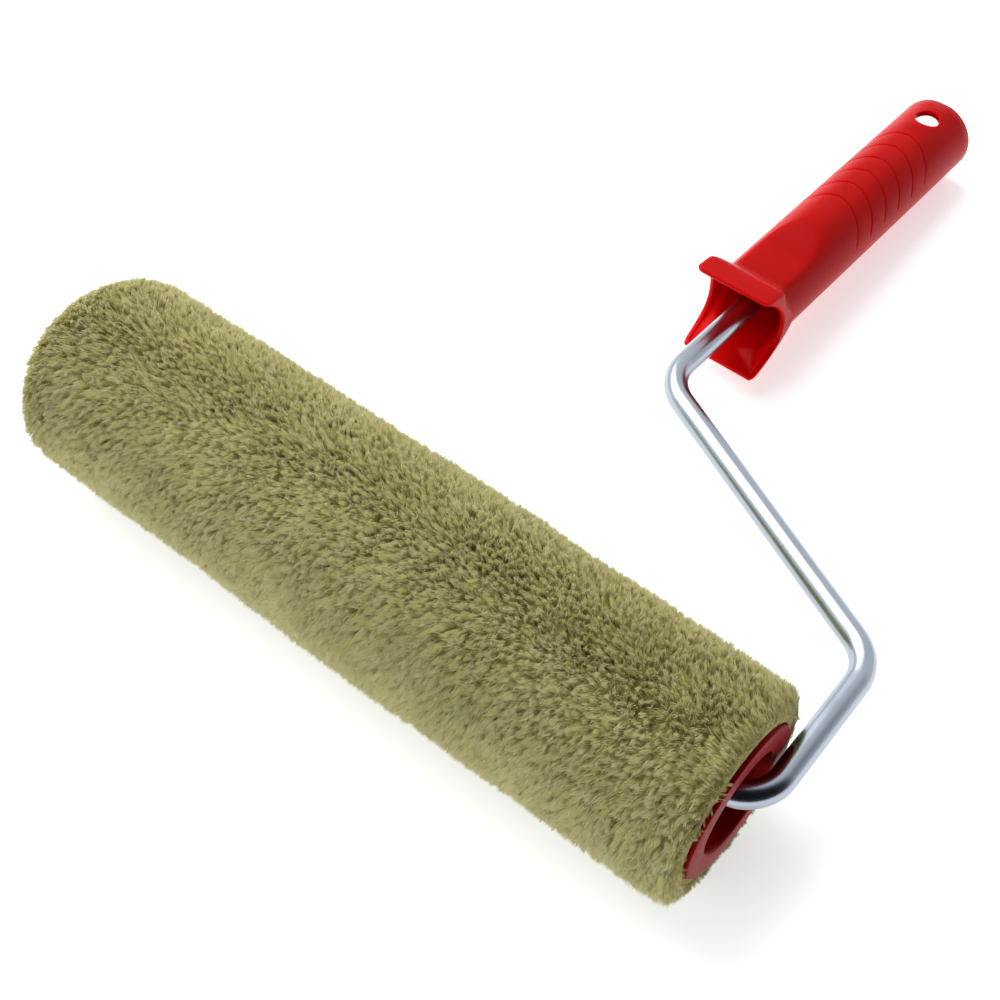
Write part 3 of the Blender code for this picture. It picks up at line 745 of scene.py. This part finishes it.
def tuftTree():
    tree = bpy.data.node_groups.new("plushFibres", "GeometryNodeTree")
    face = tree.interface
    face.new_socket("Geometry", in_out="INPUT", socket_type="NodeSocketGeometry")
    numbers = (("Tufts per square metre", "Float", 1e6), ("Seed", "Int", 1), ("Clump size", "Float", 0.0026),
               ("Clump pull", "Float", 1.0), ("Waviness", "Float", 0.6), ("Wave size", "Float", 0.02))
    for name, kind, value in numbers:
        face.new_socket(name, in_out="INPUT", socket_type="NodeSocket" + kind).default_value = value
    face.new_socket("Tufts", in_out="INPUT", socket_type="NodeSocketCollection")
    face.new_socket("Material", in_out="INPUT", socket_type="NodeSocketMaterial")
    face.new_socket("Geometry", in_out="OUTPUT", socket_type="NodeSocketGeometry")
    given = addNode(tree, "NodeGroupInput").outputs

    def calculate(kind, operation, *values, scale=None):
        # A maths node; each value is a constant or the socket that feeds it.
        node = addNode(tree, kind, {"operation": operation})
        named = dict(enumerate(values))
        if scale is not None:
            named["Scale"] = scale
        for socketName, value in named.items():
            if isinstance(value, bpy.types.NodeSocket):
                tree.links.new(value, node.inputs[socketName])
            else:
                node.inputs[socketName].default_value = value
        return node

    def vectorMath(operation, *values, scale=None):
        return calculate("ShaderNodeVectorMath", operation, *values, scale=scale).outputs["Vector"]

    def dot(first, second):
        return calculate("ShaderNodeVectorMath", "DOT_PRODUCT", first, second).outputs["Value"]

    def maths(operation, *values):
        return calculate("ShaderNodeMath", operation, *values).outputs[0]

    scattered = addNode(tree, "GeometryNodeDistributePointsOnFaces", {},
                        {"Mesh": given["Geometry"], "Density": given["Tufts per square metre"],
                         "Seed": given["Seed"]})
    place = addNode(tree, "GeometryNodeInputPosition").outputs[0]
    normal = scattered.outputs["Normal"]
    # The lay: round the sleeve and a little along it.
    around = vectorMath("CROSS_PRODUCT", (1.0, 0.0, 0.0), normal)
    lay = vectorMath("ADD", vectorMath("SCALE", around, scale=pile["lean"][1]), (pile["lean"][0], 0.0, 0.0))
    lengthwise = addNode(tree, "ShaderNodeSeparateXYZ", {}, {"Vector": place}).outputs["X"]
    endScales = []
    for turn in endTurns:
        start, stop = axleCentre.x + turn["from"] * mm, axleCentre.x + turn["to"] * mm
        near = mapRange(tree, lengthwise, start, stop)
        facing = mapRange(tree, dot(normal, turn["side"]), *turn["spread"])
        share = maths("MULTIPLY", near, facing)
        lay = vectorMath("ADD", lay, vectorMath("SCALE", (turn["lean"], 0.0, 0.0), scale=share))
        endScales.append(mapRange(tree, share, 0.0, 1.0, 1.0, turn["length"]))
    lay = vectorMath("SCALE", lay, scale=pile["leanAmount"])
    # At the ends of the sleeve the fibres stand out sideways and get shorter, clear of the caps.
    ends = addNode(tree, "ShaderNodeSeparateXYZ", {}, {"Vector": normal}).outputs["X"]
    facingEnd = maths("ABSOLUTE", ends)
    flatNormal = vectorMath("MULTIPLY", normal, (pile["endNormal"], 1.0, 1.0))
    # Slow waves turn the lay here and there.
    wave = addNode(tree, "ShaderNodeTexNoise", {"noise_dimensions": "3D", "Detail": 2.0},
                   {"Vector": place, "Scale": maths("DIVIDE", 1.0, given["Wave size"])})
    swirl = vectorMath("SUBTRACT", wave.outputs["Color"], (0.5, 0.5, 0.5))
    swirl = vectorMath("SCALE", swirl, scale=given["Waviness"])
    # Tips gather towards the middle of small cells, which makes locks with gaps between them.
    cell = addNode(tree, "ShaderNodeTexVoronoi", {},
                   {"Vector": place, "Scale": maths("DIVIDE", 1.0, given["Clump size"])})
    pull = vectorMath("SUBTRACT", cell.outputs["Position"], place)
    pull = vectorMath("SCALE", pull, scale=given["Clump pull"])
    looser = mapRange(tree, facingEnd, *pile["endFacing"], 1.0, pile["endPull"])
    pull = vectorMath("SCALE", pull, scale=looser)
    aim = vectorMath("ADD", vectorMath("ADD", flatNormal, lay), swirl)
    aim = vectorMath("ADD", aim, pull)
    turned = addNode(tree, "FunctionNodeAxesToRotation", {"primary_axis": "Z", "secondary_axis": "Y"})
    tree.links.new(aim, turned.inputs[0])
    tree.links.new(normal, turned.inputs[1])
    size = addNode(tree, "FunctionNodeRandomValue", {"data_type": "FLOAT"}, {"Seed": given["Seed"]})
    size.inputs[2].default_value, size.inputs[3].default_value = pile["sizes"]
    shorter = mapRange(tree, facingEnd, *pile["endFacing"], 1.0, pile["endLength"])
    sized = maths("MULTIPLY", size.outputs[1], shorter)
    # Slow swells of length keep the sleeve's outline from being a straight line.
    swell = noise(tree, place, pile["bulgeSize"] * mm, 1.0)
    sized = maths("MULTIPLY", sized, mapRange(tree, swell, 0.3, 0.7, 1 - pile["bulge"], 1 + pile["bulge"]))
    for scale in endScales:
        sized = maths("MULTIPLY", sized, scale)
    pick = addNode(tree, "GeometryNodeCollectionInfo", {"Separate Children": True, "Reset Children": True},
                   {"Collection": given["Tufts"]})
    placed = addNode(tree, "GeometryNodeInstanceOnPoints", {"Pick Instance": True},
                     {"Points": scattered.outputs["Points"], "Instance": pick.outputs[0],
                      "Rotation": turned.outputs[0], "Scale": sized})
    tint = addNode(tree, "FunctionNodeRandomValue", {"data_type": "FLOAT"})
    tint.inputs[2].default_value, tint.inputs[3].default_value = pile["tints"]
    named = addNode(tree, "GeometryNodeStoreNamedAttribute",
                    {"data_type": "FLOAT", "domain": "INSTANCE", "Name": "tint"},
                    {"Geometry": placed.outputs[0], "Value": tint.outputs[1]})
    real = addNode(tree, "GeometryNodeRealizeInstances", {}, {"Geometry": named.outputs[0]})
    # Every ribbon turns its front away from the axle.
    faceNormal = addNode(tree, "GeometryNodeInputNormal").outputs[0]
    outward = vectorMath("MULTIPLY", vectorMath("SUBTRACT", place, tuple(axleCentre)), (0.0, 1.0, 1.0))
    inward = addNode(tree, "FunctionNodeCompare", {"data_type": "FLOAT", "operation": "LESS_THAN"},
                     {"A": dot(faceNormal, outward)})
    turnedOut = addNode(tree, "GeometryNodeFlipFaces", {},
                        {"Mesh": real.outputs[0], "Selection": inward.outputs[0]})
    painted = addNode(tree, "GeometryNodeSetMaterial", {},
                      {"Geometry": turnedOut.outputs[0], "Material": given["Material"]})
    result = addNode(tree, "NodeGroupOutput")
    tree.links.new(painted.outputs[0], result.inputs[0])
    return tree


def bandSurface(index):
    # The strip of root surface that one band of fibres grows on; the end bands turn in to the caps.
    far, near = rootProfile()
    step = 2 * pile["bandHalf"] / pile["bands"]
    low = index * step - pile["bandHalf"]
    outline = [(low, pile["rootRadius"]), (low + step, pile["rootRadius"])]
    if index == 0:
        outline = far[1:] + outline[1:]
    if index == pile["bands"] - 1:
        outline = outline[:1] + near[:-1]
    builder = bmesh.new()
    angles = [math.tau * i / pile["sides"] for i in range(pile["sides"])]
    rings = [[Vector((x, radius * math.cos(a), radius * math.sin(a))) for a in angles]
             for x, radius in outline]
    skinRings(builder, rings, False, capEnds=False)
    mesh = bpy.data.meshes.new("bandSurface")
    builder.to_mesh(mesh)
    area = sum(face.area for face in mesh.polygons)
    builder.free()
    mesh.transform(rollerPlace)
    return mesh, area


def setInput(modifier, tree, name, value):
    for item in tree.interface.items_tree:
        if item.item_type == "SOCKET" and item.in_out == "INPUT" and item.name == name:
            modifier[item.identifier] = value


def softenNormals(mesh):
    # Fibres shade mostly like the surface they cover, which gives plush its soft look.
    count = len(mesh.vertices)
    points = np.empty(count * 3, np.float32)
    mesh.vertices.foreach_get("co", points)
    own = np.empty(count * 3, np.float32)
    mesh.vertex_normals.foreach_get("vector", own)
    outward = (points.reshape(-1, 3) - np.array(axleCentre)) * np.array((0.0, 1.0, 1.0))
    outward /= np.linalg.norm(outward, axis=1, keepdims=True)
    blended = pile["softNormal"] * outward + (1 - pile["softNormal"]) * own.reshape(-1, 3)
    blended /= np.linalg.norm(blended, axis=1, keepdims=True)
    mesh.normals_split_custom_set_from_vertices(blended.tolist())


def makeBand(index, tree):
    mesh, area = bandSurface(index)
    source = bpy.data.objects.new("bandSource", mesh)
    bpy.context.collection.objects.link(source)
    count = pile["tuftsPerBand"] * 1.0
    step = source.modifiers.new("fibres", "NODES")
    step.node_group = tree
    clumpSize = pile["clumpSize"] * mm
    values = {"Tufts per square metre": count / (area * mm * mm), "Seed": pile["seed"] + index,
              "Clump size": clumpSize, "Clump pull": pile["clumpPull"] / clumpSize,
              "Waviness": pile["waviness"], "Wave size": pile["waveSize"] * mm,
              "Tufts": tufts, "Material": plush}
    for name, value in values.items():
        setInput(step, tree, name, value)
    bpy.context.view_layer.update()
    done = bpy.data.meshes.new_from_object(source.evaluated_get(bpy.context.evaluated_depsgraph_get()))
    bpy.data.objects.remove(source)
    name = f"pileFibres{index + 1}"
    done.name = name
    done.shade_smooth()
    softenNormals(done)
    made = addObject(name, done, plush)
    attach(made, "roller")
    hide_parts("pile")
    print(name, len(done.polygons), "faces")


makeRoots()
tufts = bpy.data.collections.new("tufts")
randomTufts = np.random.default_rng(pile["seed"])
for kind in range(pile["tuftKinds"]):
    makeTuft(kind, randomTufts)
fibreTree = tuftTree()
for index in range(pile["bands"]):
    makeBand(index, fibreTree)
for made in list(tufts.objects):
    bpy.data.objects.remove(made)
bpy.data.collections.remove(tufts)
print("pile made")


def makeFloor():
    # Pale and matt. It glows a little, as a light table does, so that shadows on it stay pale.
    made, tree = newMaterial("paleMatteFloor")
    cloud = addNode(tree, "ShaderNodeTexNoise", {"Scale": 2.0}, {"Vector": objectPlace(tree)})
    colour = colourRamp(tree, cloud.outputs["Fac"], [(0.0, "eef3f4"), (1.0, "f2f6f7")])
    settings = {"Roughness": 0.9, "Specular IOR Level": 0.1, "Emission Color": srgb("ffffff"),
                "Emission Strength": 0.58}
    shader = addNode(tree, "ShaderNodeBsdfPrincipled", settings, {"Base Color": colour})
    finishMaterial(tree, shader)
    builder = bmesh.new()
    bmesh.ops.create_grid(builder, x_segments=4, y_segments=4, size=6.0)
    mesh = bpy.data.meshes.new("studioFloor")
    builder.to_mesh(mesh)
    builder.free()
    addObject("studioFloor", mesh, made)


# Places in metres. The world is a white tent, which darkens towards an opening at its front right.
tentOpening = (0.66, -0.43, 0.62)
tentShades = [(0.32, "f6f8fb"), (0.50, "9a9fa6"), (0.66, "25282c"), (1.0, "131518")]
lights = {
    "overheadSoftbox": {"place": (-0.80, 0.10, 1.05), "size": (1.3, 1.3), "power": 15.0},
    "frontSoftbox": {"place": (-0.25, -1.10, 0.60), "size": (0.8, 0.5), "power": 3.0},
}


def makeLights():
    for name, setting in lights.items():
        data = bpy.data.lights.new(name, "AREA")
        data.shape = "RECTANGLE"
        data.size, data.size_y = setting["size"]
        data.energy = setting["power"]
        lamp = bpy.data.objects.new(name, data)
        bpy.context.collection.objects.link(lamp)
        lamp.location = setting["place"]
        lamp.rotation_euler = (-Vector(setting["place"])).to_track_quat("-Z", "Y").to_euler()
    world = bpy.data.worlds.new("studio")
    bpy.context.scene.world = world
    world.use_nodes = True
    tree = world.node_tree
    background = tree.nodes["Background"]
    background.inputs["Strength"].default_value = 1.0
    # The dark opening gives the metal its dark bands.
    outlook = addNode(tree, "ShaderNodeTexCoord").outputs["Generated"]
    opening = addNode(tree, "ShaderNodeVectorMath", {"operation": "DOT_PRODUCT", 1: tentOpening},
                      {0: outlook})
    sky = colourRamp(tree, opening.outputs["Value"], tentShades)
    tree.links.new(sky, background.inputs["Color"])
    bpy.context.scene.view_settings.view_transform = "Standard"


# The place is in millimetres from the axle's middle.
camera = {"place": (195.2, -196.2, 377.7), "right": (0.7773, 0.6289, 0.0152),
          "forward": (-0.3797, 0.4884, -0.7857), "lens": 57.51, "sensor": 36.0, "clip": (0.01, 50.0)}


def makeCamera():
    data = bpy.data.cameras.new("studioCamera")
    data.lens, data.sensor_width = camera["lens"], camera["sensor"]
    data.clip_start, data.clip_end = camera["clip"]
    made = bpy.data.objects.new("studioCamera", data)
    bpy.context.collection.objects.link(made)
    forward = Vector(camera["forward"]).normalized()
    right = Vector(camera["right"])
    right = (right - right.dot(forward) * forward).normalized()
    up = right.cross(forward)
    turn = Matrix((right, up, -forward)).transposed().to_4x4()
    made.matrix_world = Matrix.Translation(axleCentre + Vector(camera["place"]) * mm) @ turn
    bpy.context.scene.camera = made


makeFloor()
makeLights()
makeCamera()
print("floor, lights and camera made")
